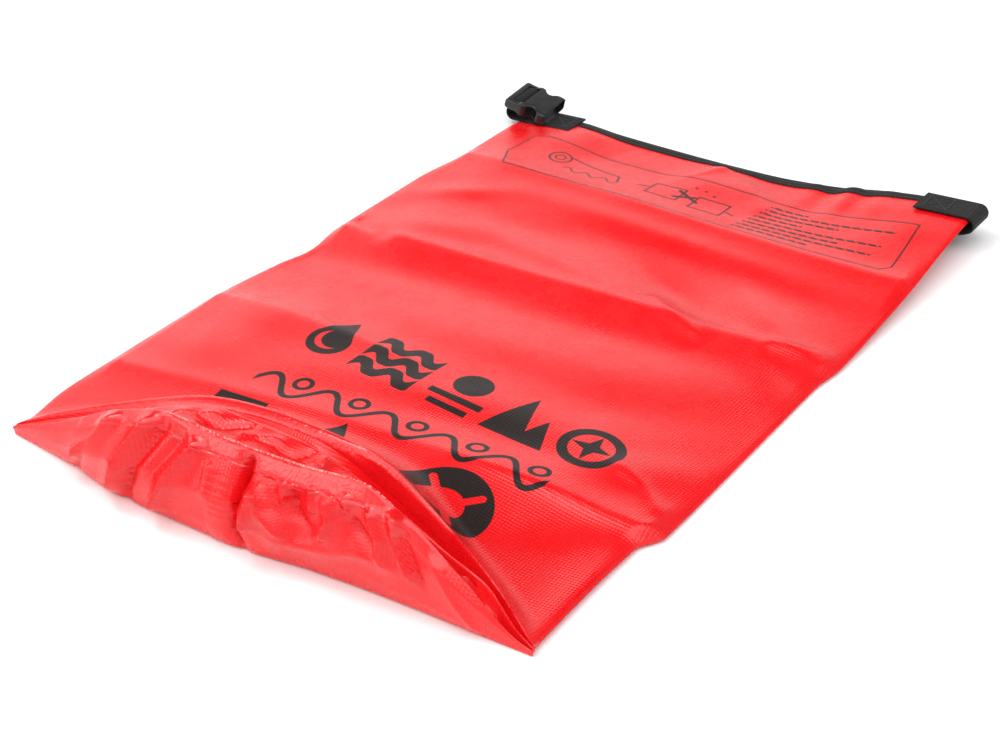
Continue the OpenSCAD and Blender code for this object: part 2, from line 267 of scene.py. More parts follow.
def hem_waves(x, y):
    """Short folds that run down from the binding at the right."""
    near = ease((y - 205) / 55)
    z = 1.3 * np.sin((x - 52) / 4.6) * np.exp(-((x - 84) / 26) ** 2)
    z += fold(x, y, [(-4, 262), (-16, 236), (-34, 205)], 2.2, 7) - 0.9 * np.exp(-((x - 34) / 16) ** 2)
    return near * z + fold(x, y, [(10, 250), (36, 222), (52, 200)], 1.0, 8)


def mouth_step(x, y):
    """The front layer ends a little short of the back one."""
    across = np.sqrt(np.clip(1 - np.abs(x / HALF_W) ** 6, 0, 1))
    return 4.8 * ease((y - MOUTH_Y + HEM_DEPTH) / HEM_DEPTH) * across


def layer_points(y, front, rise=None):
    """Points of the front or back layer where y gives their places along the bag, in rows.
    rise may lift the front layer."""
    unit = 2 * SHARES - 1
    left, right = knots(y, LEFT_EDGE), knots(y, RIGHT_EDGE)
    x = left + (right - left) * SHARES
    z, other = field(y, FRONT, unit), field(y, BACK, unit)
    if not front:
        return np.stack([x, y, round_edges(x, left, right, other, z, y)], -1)
    z = z + (undulations(x, y) + hem_waves(x, y)) * ease((1 - np.abs(unit)) / 0.05)
    if rise:
        z = rise(z)
    z = round_edges(x, left, right, z, other, y)
    return np.stack([x, y - mouth_step(x, y), z], -1)


def across_bag(y):
    """The same places along the bag for every column."""
    return np.repeat(np.asarray(y, float)[:, None], COLS + 1, 1)


def bag_grid():
    """Points of the outer face from the roll down the front, over the base and back below."""
    x_fold = -178.5 + 353 * SHARES
    t = np.linspace(0, 1, FRONT_ROWS + 1)[:, None]
    fold_y, fold_z = knots(x_fold, FRONT_FOLD_Y), knots(x_fold, FRONT_FOLD_Z)
    y_front = BODY_END_Y + (fold_y - BODY_END_Y) * t
    reach = knots(x_fold, [(-182, 18), (-140, 30), (-80, 44), (0, 50), (60, 44), (100, 30),
                           (140, 20), (178, 12)])
    share = np.clip((fold_y + reach - y_front) / reach, 0, 1) ** 1.9
    front = layer_points(y_front, True, lambda z: z + (fold_z - z) * share)

    rails = base_rails(x_fold)
    base = []
    for (y0, z0), (y1, z1), n in zip(rails, rails[1:], SEGMENTS):
        for i in range(1, n + 1):
            base.append(np.stack([x_fold, y0 + (y1 - y0) * i / n, z0 + (z1 - z0) * i / n], -1))

    ground_y = knots(x_fold, GROUND_Y)
    back = layer_points(ground_y + (BODY_END_Y - ground_y) * t[1:], False)
    grid = np.concatenate([front, base, back])
    # round the folds of the base without shrinking the long flat runs
    rows = slice(FOLD_ROW - 8, GROUND_ROW + 6)
    for _ in range(3):
        softer = 0.25 * grid[:-2] + 0.5 * grid[1:-1] + 0.25 * grid[2:]
        grid[1:-1][rows.start - 1:rows.stop - 1] = softer[rows.start - 1:rows.stop - 1]
    return grid


def round_edges(x, left, right, z, other, y):
    """Rounds a layer down to the middle of the bag's side fold."""
    radius = 4.0 + 3.0 * ease((-150 - y) / 25) * (x > 0)
    edge_l = 0.5 * (z[:, :1] + other[:, :1])
    edge_r = 0.5 * (z[:, -1:] + other[:, -1:])
    for d, edge in ((x - left, edge_l), (right - x, edge_r)):
        k = np.clip(d / radius, 0, 1)
        z = edge + (z - edge) * np.sqrt(1 - (1 - k) ** 2)
    return z


def grid_normals(grid):
    du = np.gradient(grid, axis=1)
    dv = np.gradient(grid, axis=0)
    n = np.cross(dv, du)
    return n / np.maximum(np.linalg.norm(n, axis=-1, keepdims=True), 1e-9)


def run_length(points):
    """Distance run along a line of points, or down each column of a grid."""
    steps = np.linalg.norm(np.diff(points, axis=0), axis=-1)
    return np.concatenate([np.zeros_like(steps[:1]), np.cumsum(steps, 0)])


def path_lengths(grid):
    """Places along the cloth: y on the front, and the distance run on from the front fold."""
    run = run_length(grid)
    v = grid[FOLD_ROW, :, 1] - run + run[FOLD_ROW]
    v[:FOLD_ROW] = grid[:FOLD_ROW, :, 1]
    return v


def wrinkle(grid):
    """Folds pressed into the turned-up back and the base."""
    rows = np.arange(len(grid))[:, None]
    x = grid[..., 0]
    drop = run_length(grid)
    down = drop - drop[NEAR_ROW]
    on_lip = ease((rows - NEAR_ROW) / 5) * ease((GROUND_ROW + 3 - rows) / 5)
    in_base = ease((NEAR_ROW - rows) / 4) * ease((rows - FOLD_ROW) / 4)
    h = LIP_DEPTH * on_lip * folds(x, down, LIP_FOLDS) + in_base * folds(x, -down, BASE_FOLDS)
    moved = grid + grid_normals(grid) * h[..., None]
    moved[..., 2] = np.maximum(moved[..., 2], 0.12)
    return moved


LIP_DEPTH = 1.35
# (place across, distance down from the near edge), height, width
LIP_FOLDS = [
    ([(-49, 1), (-58, 16), (-68, 32), (-77, 50), (-82, 66)], -3.6, 4.4),
    ([(-58, 1), (-68, 16), (-80, 34), (-88, 54)], 6.4, 6.5),
    ([(-26, 4), (-36, 22), (-50, 46), (-58, 60)], 6.6, 5.0),
    ([(-38, 4), (-46, 20), (-60, 42)], -2.6, 4.5),
    ([(-84, 2), (-104, 16), (-126, 26)], 4.6, 6),
    ([(-96, 6), (-112, 24), (-128, 36)], -2.0, 5),
    ([(-19, 14), (-18, 36)], 1.8, 4),
    ([(5, -2), (3, 16), (0, 34), (-2, 50), (5, 68)], -8.5, 2.8),
    ([(14, 18), (11, 32), (6, 46)], 6.0, 4.5),
    ([(12, 14), (20, 30), (36, 40)], 4.4, 4.6),
    ([(32, 12), (38, 26), (50, 38)], -4.2, 4.6),
    ([(56, 10), (60, 24), (54, 38)], 4.6, 5.0),
    ([(66, 14), (76, 26), (92, 34)], -3.6, 4.8),
    ([(82, 8), (90, 20), (88, 36)], 4.0, 4.4),
    ([(12, 46), (34, 42), (60, 42), (86, 35), (110, 28)], 3.6, 9),
    ([(28, 10), (31, 24)], 2.6, 3.2),
    ([(46, 8), (49, 24)], 3.0, 3.4),
    ([(68, 7), (71, 24)], 3.0, 3.4),
    ([(94, 0), (102, 14), (112, 32)], 5.4, 4.4),
    ([(100, 4), (108, 18), (116, 30)], -2.4, 4),
    ([(118, 4), (132, 16), (146, 22)], 1.8, 5),
]
# (place across, distance back from the near edge), height, width
BASE_FOLDS = [
    ([(-54, 3), (-44, 12), (-30, 20)], 3.6, 3.6),
    ([(-38, 3), (-24, 14), (-8, 24)], -3.2, 3.6),
    ([(-14, 3), (0, 12), (14, 18)], 3.8, 3.8),
    ([(10, 5), (22, 12), (30, 24)], -3.0, 3.6),
    ([(36, 3), (40, 14), (34, 26)], 4.0, 3.6),
    ([(56, 4), (53, 14), (60, 28)], -3.4, 3.6),
    ([(-78, 3), (-66, 12), (-56, 24)], 3.2, 4.2),
    ([(-64, 3), (-56, 10), (-48, 24)], -2.6, 3.4),
    ([(-104, 4), (-86, 10), (-76, 20)], -2.6, 4),
    ([(74, 3), (72, 14), (80, 28)], 3.0, 4),
    ([(88, 6), (96, 14), (110, 18)], -2.4, 4),
    ([(128, 5), (142, 9), (154, 12)], 4.5, 4),
]


# ---------------- mesh building

def put_in_scene(name, data):
    obj = bpy.data.objects.new(name, data)
    bpy.context.scene.collection.objects.link(obj)
    return obj


def make_mesh(name, points, faces, uv, material, joined=False):
    """A mesh object from points in millimetres; uv gives one pair in millimetres per point.
    joined makes one point of those that share a place."""
    points = np.asarray(points, float).reshape(-1, 3)
    faces = np.asarray(faces, np.int64)
    corner_uv = np.asarray(uv, np.float32).reshape(-1, 2)[faces.ravel()]
    if joined:
        key = np.round(points * 1e3).astype(np.int64)
        _, first, back = np.unique(key, axis=0, return_index=True, return_inverse=True)
        points = points[first]
        faces = back.ravel()[faces]
    mesh = bpy.data.meshes.new(name)
    mesh.vertices.add(len(points))
    mesh.vertices.foreach_set("co", (points * MM).astype(np.float32).ravel())
    mesh.loops.add(faces.size)
    mesh.loops.foreach_set("vertex_index", faces.ravel().astype(np.int32))
    mesh.polygons.add(len(faces))
    mesh.polygons.foreach_set("loop_start", np.arange(0, faces.size, faces.shape[1], dtype=np.int32))
    mesh.polygons.foreach_set("use_smooth", np.full(len(faces), True))
    layer = mesh.uv_layers.new(name="cloth")
    layer.data.foreach_set("uv", corner_uv.ravel())
    mesh.update(calc_edges=True)
    mesh.validate()
    mesh.materials.append(material)
    return put_in_scene(name, mesh)


def grid_faces(rows, cols, base=0, closed=False):
    r = np.arange(rows - 1)[:, None]
    c = np.arange(cols if closed else cols - 1)[None, :]
    n = (c + 1) % cols
    a, b = r * cols + c, r * cols + n
    d, e = (r + 1) * cols + c, (r + 1) * cols + n
    return base + np.stack([a, d, e, b], -1).reshape(-1, 4)


def grid_mesh(name, points, uv, material, closed=False, joined=False):
    """A mesh from rows of points; closed ties each row's last point to its first."""
    faces = grid_faces(*np.shape(points)[:2], closed=closed)
    return make_mesh(name, points, faces, uv, material, joined)


def capped(rings):
    """Rings with one more at each end, drawn in to a point, that closes a body."""
    ends = rings[[0, -1]].mean(1, keepdims=True) + np.zeros_like(rings[:1])
    return np.concatenate([ends[:1], rings, ends[1:]])


def apply_modifiers(obj, sharp=None):
    """Makes an object's modifiers part of its mesh; edges above the angle sharp stay crisp."""
    deps = bpy.context.evaluated_depsgraph_get()
    mesh = bpy.data.meshes.new_from_object(obj.evaluated_get(deps))
    old = obj.data
    obj.modifiers.clear()
    obj.data = mesh
    mesh.name = obj.name
    bpy.data.meshes.remove(old)
    if sharp:
        mesh.set_sharp_from_angle(angle=math.radians(sharp))
    return obj


def thicken(obj, thickness, offset=-1.0, **more):
    """Gives a sheet its thickness, by default on the inner side."""
    m = obj.modifiers.new("thickness", "SOLIDIFY")
    m.thickness = thickness * MM
    m.offset = offset
    for key, value in more.items():
        setattr(m, key, value)
    return apply_modifiers(obj, 50)


def join(name, objs):
    """One object out of several, with their materials kept."""
    bpy.context.view_layer.update()
    with bpy.context.temp_override(active_object=objs[0], selected_editable_objects=objs,
                                   selected_objects=objs, object=objs[0]):
        bpy.ops.object.join()
    objs[0].name = name
    objs[0].data.name = name
    return objs[0]


def stand_for(obj, node, body=None):
    """Puts a piece in the place of a CAD node; one that doesn't bend rides on a body."""
    if body:
        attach(obj, body)
    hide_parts(node)


# ---------------- materials

class Value:
    """A number in a node tree that takes ordinary arithmetic."""

    def __init__(self, graph, socket):
        self.graph = graph
        self.socket = socket

    def step(self, op, *others):
        return self.graph.math(op, self, *others)

    __add__ = functools.partialmethod(step, "ADD")
    __sub__ = functools.partialmethod(step, "SUBTRACT")
    __mul__ = functools.partialmethod(step, "MULTIPLY")
    __truediv__ = functools.partialmethod(step, "DIVIDE")
    __abs__ = functools.partialmethod(step, "ABSOLUTE")


def sine(value):
    return value.step("SINE")


def root(value):
    return value.step("SQRT")


def larger(a, b):
    return a.step("MAXIMUM", b)


def smaller(a, b):
    return a.step("MINIMUM", b)


def between(share, a, b):
    return a - (a - b) * share


class Graph:
    """Short-hand for building the node tree of a material or of the world."""

    def __init__(self, owner, shader="Principled BSDF"):
        owner.use_nodes = True
        self.owner = owner
        self.tree = owner.node_tree
        self.shader = self.tree.nodes[shader]

    def node(self, kind, **settings):
        n = self.tree.nodes.new(kind)
        for key, value in settings.items():
            setattr(n, key, value)
        return n

    def put(self, pin, value):
        if isinstance(value, Value):
            value = value.socket
        if isinstance(value, bpy.types.NodeSocket):
            self.tree.links.new(value, pin)
        elif value is not None:
            pin.default_value = value

    def fill(self, n, *values):
        """Sets a node's first inputs and gives its first output."""
        for pin, value in zip(n.inputs, values):
            self.put(pin, value)
        return Value(self, n.outputs[0])

    def name_fill(self, n, **values):
        """Sets a node's inputs by name."""
        for key, value in values.items():
            self.put(n.inputs[key.replace("_", " ")], value)
        return n.outputs

    def set(self, **values):
        self.name_fill(self.shader, **values)

    def math(self, op, *values):
        return self.fill(self.node("ShaderNodeMath", operation=op), *values)

    def ramp(self, value, low, high, out_low=0.0, out_high=1.0):
        n = self.node("ShaderNodeMapRange", interpolation_type="SMOOTHSTEP")
        return self.fill(n, value, low, high, out_low, out_high)

    def uv(self):
        cloth = self.node("ShaderNodeUVMap", uv_map="cloth").outputs[0]
        split = self.node("ShaderNodeSeparateXYZ")
        return self.fill(split, cloth), Value(self, split.outputs[1]), cloth

    def coordinate(self, kind):
        return self.node("ShaderNodeTexCoord").outputs[kind]

    def noise(self, vector, scale, detail=3.0, rough=0.5):
        n = self.node("ShaderNodeTexNoise")
        made = self.name_fill(n, Vector=vector, Scale=scale, Detail=detail, Roughness=rough)
        return Value(self, made["Fac"])

    def mix(self, share, a, b):
        """A colour between two; the node keeps its colours on pins 6 and 7."""
        n = self.node("ShaderNodeMix", data_type="RGBA")
        for pin, value in ((0, share), (6, a), (7, b)):
            self.put(n.inputs[pin], value)
        return n.outputs[2]

    def bump(self, height, distance, strength=1.0, normal=None):
        n = self.node("ShaderNodeBump")
        return self.name_fill(n, Height=height, Distance=distance, Strength=strength, Normal=normal)[0]


def new_material(name):
    return Graph(bpy.data.materials.new(name))


def srgb(r, g, b):
    """A colour picked on a screen, 0 to 255, as linear light."""
    def one(v):
        v /= 255
        return v / 12.92 if v <= 0.04045 else ((v + 0.055) / 1.055) ** 2.4
    return one(r), one(g), one(b), 1.0


SCRIM_PITCH = 2.0


def coated_fabric(name, printed):
    g = new_material(name)
    u, v, vec = g.uv()
    base = g.mix(g.ramp(g.noise(vec, 0.012, 2.0), 0.3, 0.7), srgb(236, 22, 27), srgb(228, 13, 20))
    rough = g.ramp(g.noise(vec, 0.05, 2.0), 0.3, 0.75, 0.24, 0.31)
    # threads that show through the coating
    k = math.pi / SCRIM_PITCH
    threads = abs(sine(u * k)) * abs(sine(v * k))
    base = g.mix(threads * 0.34, base, srgb(196, 6, 14))
    if printed:
        ink = prints(g, u, v)
        worn = g.ramp(g.noise(vec, 0.35, 4.0, 0.6), 0.25, 0.4, 0.9, 1.0)
        base = g.mix(ink * worn, base, srgb(38, 30, 28))
        rough = rough + ink * 0.06
        g.set(Specular_IOR_Level=ink * -0.33 + 0.5)
    normal = g.bump(threads, 0.00014, 0.7)
    normal = g.bump(g.noise(vec, 0.05, 2.0, 0.5), 0.0014, 0.1, normal)
    g.set(Base_Color=base, Roughness=rough, Normal=normal)
    return g.owner


# ---------------- printed pictograms
# Each shape is a distance in millimetres to its edge, negative inside.

def distance(u, v):
    return root(u * u + v * v)


def circle(u, v, x, y, r):
    return distance(u - x, v - y) - r


def outline(shape, half):
    return abs(shape) - half


def bar(u, v, a, b, half):
    """A stroke with round ends."""
    dx, dy = b[0] - a[0], b[1] - a[1]
    square = dx * dx + dy * dy
    pu = u - a[0]
    pv = v - a[1]
    t = smaller(larger(pu * (dx / square) + pv * (dy / square), 0.0), 1.0)
    return distance(pu - t * dx, pv - t * dy) - half


def rectangle(u, v, low, high):
    du = abs(u - (low[0] + high[0]) / 2) - (high[0] - low[0]) / 2
    dv = abs(v - (low[1] + high[1]) / 2) - (high[1] - low[1]) / 2
    return larger(du, dv)


def wave(u, v, x0, x1, y, height, length, half):
    """A sine line between two places across."""
    k = math.tau / length
    phase = (u - x0) * k
    steep = sine(phase + math.pi / 2) * (height * k)
    line = abs(v - y - sine(phase) * height) / root(steep * steep + 1.0) - half
    return larger(line, abs(u - (x0 + x1) / 2) - (x1 - x0) / 2)


def peak(u, v, x0, x1, y, top):
    """A filled triangle that stands on a level side."""
    corners = [(x0, y), (x1, y), ((x0 + x1) / 2, top)]
    sides = []
    for p, q in zip(corners, corners[1:] + corners[:1]):
        dx, dy = q[0] - p[0], q[1] - p[1]
        length = math.hypot(dx, dy)
        sides.append((u - p[0]) * (dy / length) + (v - p[1]) * (-dx / length))
    return larger(larger(sides[0], sides[1]), sides[2])


def diamond(u, v, x, y, w, h):
    return (abs(u - x) / w + abs(v - y) / h - 1.0) * min(w, h)


def union(shapes):
    return functools.reduce(smaller, shapes)


def without(shape, hole):
    return larger(shape, hole * -1.0)


def bold_shapes(u, v):
    w = v + u * 0.065                            # the bold row runs a little downhill to the right
    drop = union([circle(u, w, -79, -108, 14.5), peak(u, w, -91.5, -66.5, -101, -76)])
    glint = without(circle(u, w, -79, -107, 9.5), circle(u, w, -76, -104.5, 9.2))
    shapes = [without(drop, glint)]
    shapes += [wave(u, w, -54, -8, y, 4.2, 23, 4.2) for y in (-86, -101, -116)]
    shapes += [circle(u, w, 20, -92, 12.5)]
    shapes += [rectangle(u, w, (1, -113.5), (39, -108)), rectangle(u, w, (6, -122.5), (34, -117.5))]
    shapes += [peak(u, w, 44, 74, -122, -78), peak(u, w, 66, 88, -122, -95)]
    shapes += [outline(circle(u, w, 110, -102, 17), 3.2)]
    shapes += [diamond(u, w, 110, -102, 4.6, 13.5), diamond(u, w, 110, -102, 13.5, 4.6)]
    # a thin swell with bubbles below them
    crest = 40.8
    shapes += [wave(u, v, -92, 112, -156, 9.5, crest, 1.9)]
    shapes += [outline(circle(u, v, -61.4 + crest * k, -148.5, 5.2), 1.5) for k in range(5)]
    # the lowest row runs over the fold of the base
    shapes += [rectangle(u, v, (-100, -214), (-64, -176)), peak(u, v, -44, 20, -226, -170)]
    buoy = outline(circle(u, v, 72, -199, 21), 8)
    gap = union([bar(u, v, (56, -215), (88, -183), 2.4), bar(u, v, (56, -183), (88, -215), 2.4)])
    return shapes + [without(buoy, gap)]


PANEL = [(-138, 168), (-150, 192), (-147, 222), (-138, 226), (153, 225), (158, 172), (152, 166)]
STROKES = [
    ((-104, 208), (-62, 201), 0.7), ((-62, 201), (-58, 191), 0.7), ((-14, 203), (4, 193), 1.3),
    ((-14, 193), (0, 199), 1.3), ((-44, 196), (-36, 197), 0.7), ((28, 192), (34, 190), 0.7),
]
RULE_ENDS = [76, 142, 104, 80, 140, 112, 138, 96]


def thin_shapes(u, v):
    """The panel's frame and how to close the bag: roll the mouth, then clip the buckle."""
    shapes = [bar(u, v, a, b, 0.62) for a, b in zip(PANEL, PANEL[1:] + PANEL[:1])]
    shapes += [outline(circle(u, v, -112, 203, 8), 0.7), outline(circle(u, v, -112, 203, 3.6), 0.6)]
    shapes += [wave(u, v, -102, -58, 190, 2.6, 14.6, 0.6)]
    shapes += [bar(u, v, *stroke) for stroke in STROKES]
    for low, high in (((-34, 188), (-10, 206)), ((2, 184), (26, 202))):
        shapes += [outline(rectangle(u, v, low, high), 0.7)]
    return shapes + [circle(u, v, x, y, 1.2) for x, y in ((-6, 212), (2, 211), (10, 208))]


def prints(g, u, v):
    """Ink of the generic pictograms on the front, 0 to 1."""
    def ink(shapes, soft):
        return g.ramp(union(shapes), -soft, soft, 1.0, 0.0)
    rules = []
    for k, end in enumerate(RULE_ENDS):
        y = 217 - 6.0 * k
        rules.append(bar(u, v, (50 - 1.2 * k, y), (end, y), 1.15))
    gaps = g.ramp(sine(u * 0.82 + v * 0.9), -0.92, -0.8)
    lines = larger(ink(thin_shapes(u, v), 0.2), ink(rules, 0.2) * gaps)
    return larger(ink(bold_shapes(u, v), 0.25), lines * 0.95)


# ---------------- the other materials

def tape_material():
    g = new_material("seam_tape_weld")
    _, _, vec = g.uv()
    base = g.mix(g.ramp(g.noise(vec, 0.03), 0.3, 0.7), srgb(228, 22, 28), srgb(216, 14, 21))
    cells = g.name_fill(g.node("ShaderNodeTexVoronoi", feature="SMOOTH_F1"), Vector=vec, Scale=0.55)
    normal = g.bump(cells["Distance"], 0.0003, 0.7)
    normal = g.bump(g.noise(vec, 0.25, 3.0), 0.0004, 0.4, normal)
    g.set(Base_Color=base, Roughness=0.24, Normal=normal, Specular_IOR_Level=0.55,
          Coat_Weight=0.25, Coat_Roughness=0.16)
    return g.owner


def weld_line_material():
    g = new_material("weld_bead")
    _, _, vec = g.uv()
    # painted highlight: pale pink glints mixed into the bead's red at random places
    painted_glints = g.ramp(g.noise(vec, 0.6, 3.0), 0.42, 0.62)
    g.set(Base_Color=g.mix(painted_glints, srgb(220, 36, 40), srgb(250, 145, 135)), Roughness=0.14,
          Coat_Weight=0.8, Coat_Roughness=0.08, Normal=g.bump(g.noise(vec, 0.8, 2.0), 0.0006, 0.8))
    return g.owner


def woven(g, height, fuzz, span, dark, light, rough, normal):
    """Finishes a woven tape from the height of its ribs and the fuzz on them; the colour carries painted
    shade in the grooves and painted highlight on the rib crests, and the fuzz adds random tone.
    """
    # painted shade and highlight: colour darker in the rib grooves and lighter on the crests, mixed with
    # the fuzz's random tone
    painted_rib_light_and_fuzz = (g.ramp(height, -span, span) + fuzz) * 0.5
    g.set(Base_Color=g.mix(painted_rib_light_and_fuzz, dark, light), Roughness=rough, Normal=normal, Specular_IOR_Level=0.22,
          Sheen_Weight=0.16, Sheen_Roughness=0.5, Sheen_Tint=srgb(150, 148, 150))
    return g.owner


def webbing_material():
    g = new_material("ribbed_webbing")
    u, v, vec = g.uv()
    ribs = sine(v * (math.tau / 1.7))
    height = ribs * 0.6 + sine(u * (math.tau / 1.25) + ribs * 0.8) * 0.35
    fuzz = g.noise(vec, 2.2, 4.0, 0.7)
    normal = g.bump(fuzz, 0.00012, 0.5, g.bump(height, 0.0004, 1.0))
    # the rib height also paints shade in the grooves and highlight on the crests
    return woven(g, height, fuzz, 0.9, srgb(7, 7, 8), srgb(40, 38, 37), 0.72, normal)


def grosgrain_material():
    g = new_material("grosgrain_binding")
    u, v, vec = g.uv()
    height = sine(u * (math.tau / 0.9)) * 0.5 + sine(v * (math.tau / 4.6)) * 0.3
    fuzz = g.noise(vec, 1.8, 4.0, 0.7)
    normal = g.bump(height, 0.0002, 0.8)
    # the rib and groove height also paints shade in the grooves and highlight on the crests
    return woven(g, height, fuzz, 0.8, srgb(8, 8, 9), srgb(46, 44, 43), 0.7, normal)


def plastic_material(name, colour, rough):
    g = new_material(name)
    place = g.coordinate("Object")
    grain = g.noise(place, 2600.0, 3.0, 0.6)
    wear = g.ramp(g.noise(place, 160.0, 3.0), 0.35, 0.7)
    light = tuple(min(1.0, c * 1.5 + 0.004) for c in colour[:3]) + (1.0,)
    gloss = g.ramp(g.noise(place, 300.0, 2.0), 0.3, 0.7, rough - 0.05, rough + 0.07)
    g.set(Base_Color=g.mix(wear, colour, light), Roughness=gloss, Normal=g.bump(grain, 0.00004, 0.5),
          Specular_IOR_Level=0.5)
    return g.owner


def thread_material():
    g = new_material("bonded_thread")
    twist = g.noise(g.coordinate("Object"), 3000.0, 2.0)
    g.set(Base_Color=g.mix(twist, srgb(14, 14, 15), srgb(40, 39, 40)), Roughness=0.6,
          Normal=g.bump(twist, 0.0001, 0.6), Sheen_Weight=0.1)
    return g.owner


fabric_out = coated_fabric("coated_fabric_printed", True)
fabric_in = coated_fabric("coated_fabric_plain", False)
tape_mat = tape_material()
weld_mat = weld_line_material()
webbing_mat = webbing_material()
binding_mat = grosgrain_material()
buckle_mat = plastic_material("moulded_acetal", srgb(20, 20, 21), 0.42)
blade_mat = plastic_material("stiffener_sheet", srgb(222, 220, 212), 0.5)
thread_mat = thread_material()


# ---------------- the tube

grid = wrinkle(bag_grid())
front_rows = slice(FRONT_ROWS, None, -1)
for side_edge in (0, -1):
    grid[GROUND_ROW:, side_edge] = grid[front_rows, side_edge]
normals = grid_normals(grid)
uv_grid = np.stack([grid[..., 0], path_lengths(grid)], -1)


def shell(obj):
    obj.data.materials.append(fabric_in)
    return thicken(obj, WALL, material_offset=1, material_offset_rim=0)


front_faces = grid_faces(FOLD_ROW + 1, COLS + 1)
back_faces = grid_faces(len(grid) - NEAR_ROW, COLS + 1, (FOLD_ROW + 1) * (COLS + 1))
tube_rows = np.r_[0:FOLD_ROW + 1, NEAR_ROW:len(grid)]
tube = make_mesh("tube_body", grid[tube_rows], np.concatenate([front_faces, back_faces]),
                 uv_grid[tube_rows], fabric_out, joined=True)
stand_for(shell(tube), "tube_wall", "bag")

disc_rows = slice(FOLD_ROW, NEAR_ROW + 1)
disc = grid_mesh("folded_base", grid[disc_rows], uv_grid[disc_rows], fabric_in)
stand_for(shell(disc), "base_disc", "bag")


def bend(obj, a, b, y0, y1):
    """Bakes a piece's placement into its mesh; the two bodies a and b and the places y0 and y1 are not
    used.
    """
    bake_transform(obj)


def ring_piece(name, y0, y1, step):
    """Both layers of the flattened tube between two places along the bag."""
    y = across_bag(np.linspace(y1, y0, int(round((y1 - y0) / step)) + 1))
    front, back = layer_points(y, True), layer_points(y, False)[:, -2:0:-1]
    v = np.concatenate([front[..., 1], BACK_V - back[..., 1]], 1)
    ring = np.concatenate([front, back], 1)
    return shell(grid_mesh(name, ring, np.stack([ring[..., 0], v], -1), fabric_out, closed=True))


# piece, CAD node, its ends along the bag, row spacing, the bodies it joins, where its bend ends
RINGS = [
    ("tube_turn_3", "tube_fold_3", BODY_END_Y, 191, 3.0, "bag", "turn_3", 168),
    ("tube_turn_2", "tube_fold_2", 191, 229, 3.0, "turn_3", "turn_2", 215),
    ("tube_mouth", "tube_rim", 229, MOUTH_Y, 2.4, "turn_2", "rim", 243),
]
for name, node, y0, y1, step, body_a, body_b, bend_end in RINGS:
    ring = ring_piece(name, y0, y1, step)
    bend(ring, body_a, body_b, y0, bend_end)
    stand_for(ring, node)
RIM_BEND = ("turn_2", "rim", 229, 243)


# ---------------- strips on the tube

def strip(name, row_range, x_range, lift, thickness, material, ribs=None):
    """A thin strip that follows the tube's outer face over some rows and columns."""
    lo, hi = row_range
    x = grid[(lo + hi) // 2, :, 0]
    cols = np.where((x >= x_range[0]) & (x <= x_range[1]))[0]
    part = (slice(lo, hi + 1), slice(cols[0], cols[-1] + 1))
    area = grid[part]
    r = np.linspace(-1, 1, area.shape[0])[:, None]
    c = np.linspace(-1, 1, area.shape[1])[None, :]
    h = lift * np.sqrt(np.clip((1 - r ** 8) * (1 - c ** 12), 0.02, 1))
    if ribs is not None:
        h = h + ribs(area)
    obj = grid_mesh(name, area + normals[part] * h[..., None], uv_grid[part], material)
    return thicken(obj, thickness)


seam = join("base_seam", [
    strip("near_tape", (NEAR_ROW, BAND_ROW), (-120, 128), 0.75, 0.5, tape_mat),
    strip("far_tape", (FOLD_ROW + 1, FOLD_ROW + 6), (-95, 110), 0.7, 0.5, tape_mat),
    strip("near_bead", (NEAR_ROW - 1, NEAR_ROW + 1), (-58, 96), 1.0, 0.6, weld_mat),
    strip("low_bead", (BAND_ROW - 1, BAND_ROW + 1), (-60, 92), 0.85, 0.5, tape_mat),
])
stand_for(seam, "base_seam_tape", "bag")


def lap_ribs(area):
    """Marks that the welding bar pressed into the lap."""
    k = np.arange(area.shape[0])[:, None]
    across = ease((area[..., 0] + 18) / 3) * ease((-4 - area[..., 0]) / 3)
    span = ease((k - 8) / 3) * ease((34 - k) / 3)
    return 0.4 * np.cos(k * math.tau / 4.0) * across * span


lap = strip("lap_seam", (BAND_ROW - 2, GROUND_ROW - 1), (-20, 1), 0.9, 0.6, fabric_in, lap_ribs)
stand_for(lap, "lap_weld", "bag")


# ---------------- straps

BAND_SHARES = np.array([-1, -0.985, -0.95, -0.8, -0.4, 0, 0.4, 0.8, 0.95, 0.985, 1])


def webbing(name, path):
    """Webbing whose middle line is a path of (x, z) in the mouth's plane."""
    path = np.asarray(path, float)
    c, s = math.cos(HEM_TILT), math.sin(HEM_TILT)
    centres = np.stack([path[:, 0] * c - path[:, 1] * s, np.full(len(path), STRAP_Y),
                        HEM_RISE + path[:, 0] * s + path[:, 1] * c], -1)
    tangent = np.gradient(centres, axis=0)
    tangent /= np.linalg.norm(tangent, axis=1, keepdims=True)
    side = np.array([0.0, 1.0, 0.0])
    up = np.cross(tangent, side)
    half = WEB_W / 2
    edge = np.clip((1 - np.abs(BAND_SHARES)) * half / 0.8, 0, 1)
    h = WEB_T / 2 * (0.4 + 0.6 * np.sqrt(1 - (1 - edge) ** 2))
    profile = np.stack([np.r_[BAND_SHARES, BAND_SHARES[::-1]] * half, np.r_[h, -h[::-1]]], -1)
    rings = capped(centres[:, None] + profile[:, :1] * side + profile[:, 1:] * up[:, None])
    # ribs run across, so u holds the place across and v the run along the webbing
    u = np.broadcast_to(run_length(profile), rings.shape[:2])
    v = np.broadcast_to(np.pad(run_length(centres), 1, "edge")[:, None], rings.shape[:2])
    obj = grid_mesh(name, rings, np.stack([u, v], -1), webbing_mat, closed=True)
    obj.data.set_sharp_from_angle(angle=math.radians(60))
    return obj


def arc(cx, cz, r, a0, a1, n=24):
    a = np.radians(np.linspace(a0, a1, n))
    return [(cx + r * math.cos(t), cz + r * math.sin(t)) for t in a]


